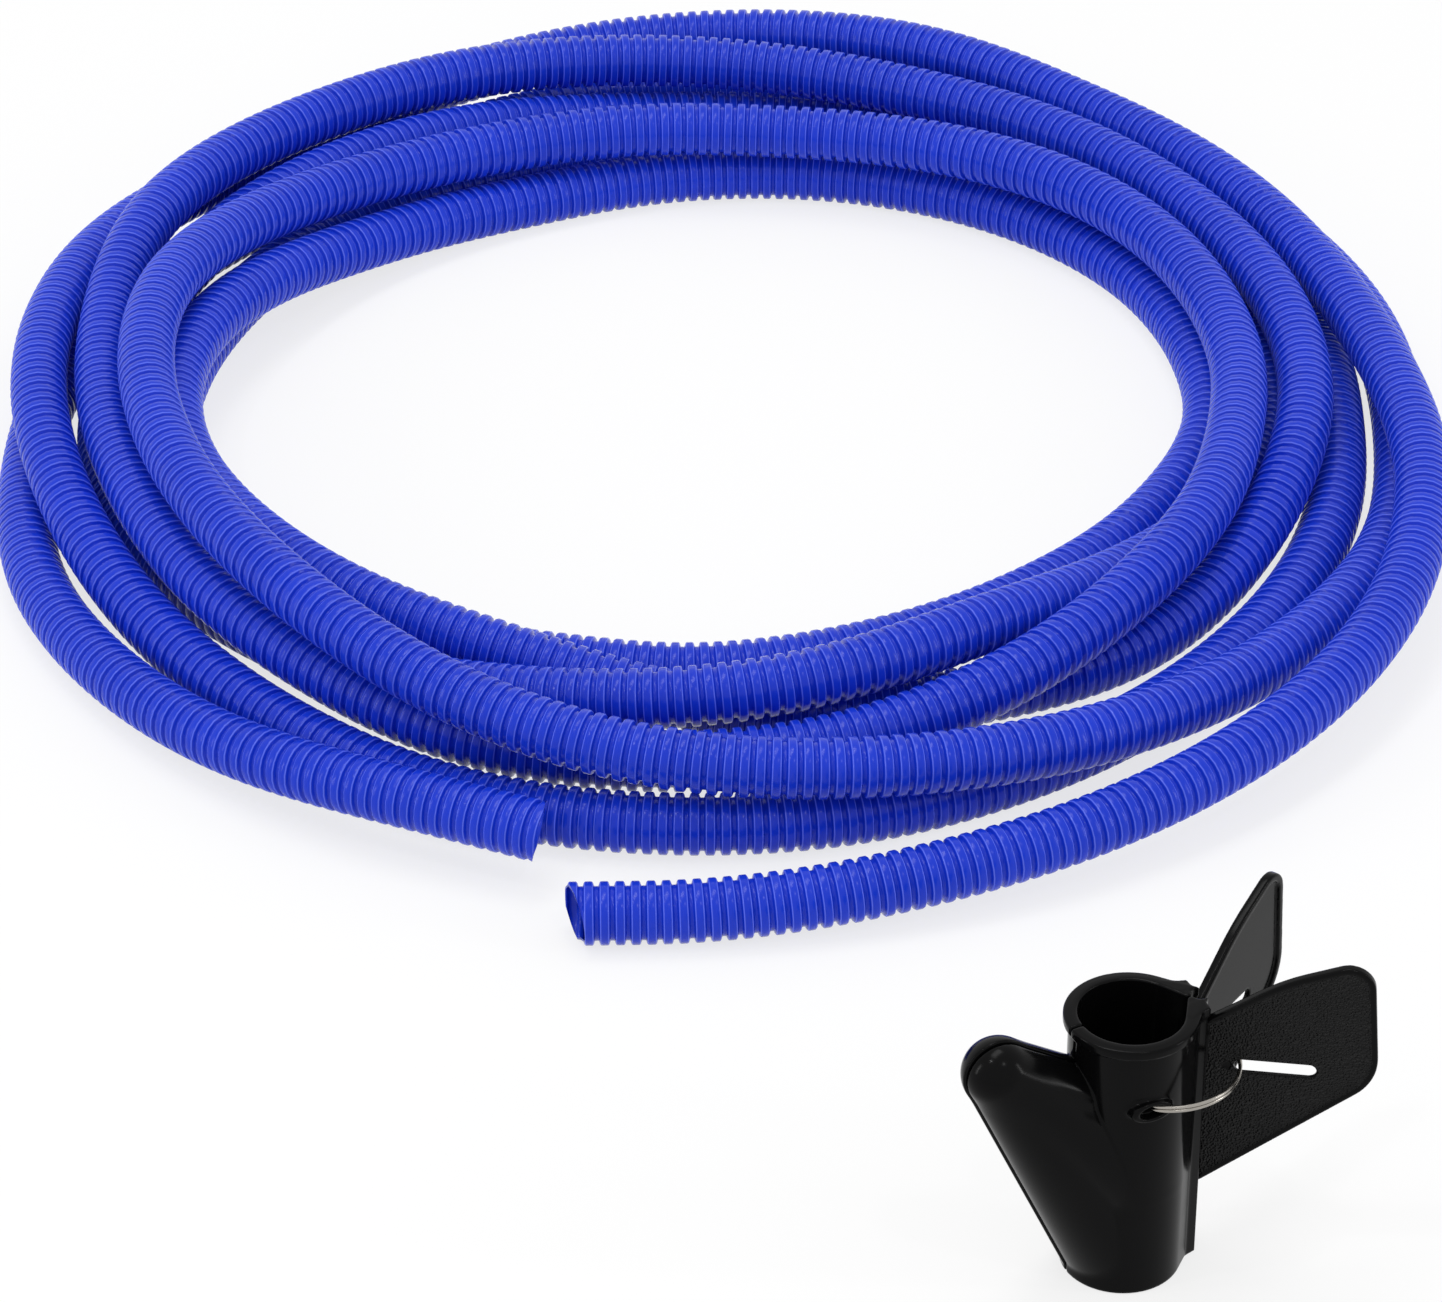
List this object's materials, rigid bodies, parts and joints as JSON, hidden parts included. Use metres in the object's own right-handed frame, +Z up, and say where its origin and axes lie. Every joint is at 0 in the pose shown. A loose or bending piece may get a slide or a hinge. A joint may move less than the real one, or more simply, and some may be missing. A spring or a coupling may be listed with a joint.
{
  "type": "coiled corrugated hose with clip-on threading tool",
  "caption": "Loose coil of flexible ribbed hose with two open cut ends, and a hinged two-shell threading tool with a spring ring standing beside it.",
  "frame": {"origin": "middle of the whole object's footprint, on the surface that it rests on", "axes": "+Z is up; the coil lies at +Y with its two cut ends towards -Y, and the tool stands at -Y, to the right (+X); -Y is towards the viewer of the picture"},
  "size_m": [0.3996, 0.6036, 0.082],
  "materials": {
    "hose": "satin gloss blue polymer",
    "shell": "glossy black moulding, grained on the wings' outer faces",
    "ring": "bright drawn spring wire"
  },
  "bodies": {
    "hose": {"hose_free_mouth": "hose", "hose_free_end": "hose", "hose_coil": "hose", "hose_tail_end": "hose", "hose_tail_mouth": "hose"},
    "tool_front": {"front_shell": "shell", "spring_ring": "ring"},
    "tool_rear": {"rear_shell": "shell"}
  },
  "joints": [
    {"name": "tool_lift", "type": "slide", "parent": "hose", "child": "tool_front", "axis": [0, 0, 1], "range_m": [0, 0.15]},
    {"name": "shell_hinge", "type": "hinge", "parent": "tool_front", "child": "tool_rear", "pos_m": [0.10849, -0.27348, 0.035], "axis": [0, 0, -1], "range_deg": [0, 50], "stiffness_Nm_per_rad": 0.1, "springref_deg": -11.46, "deforming": ["spring_ring"]}
  ]
}
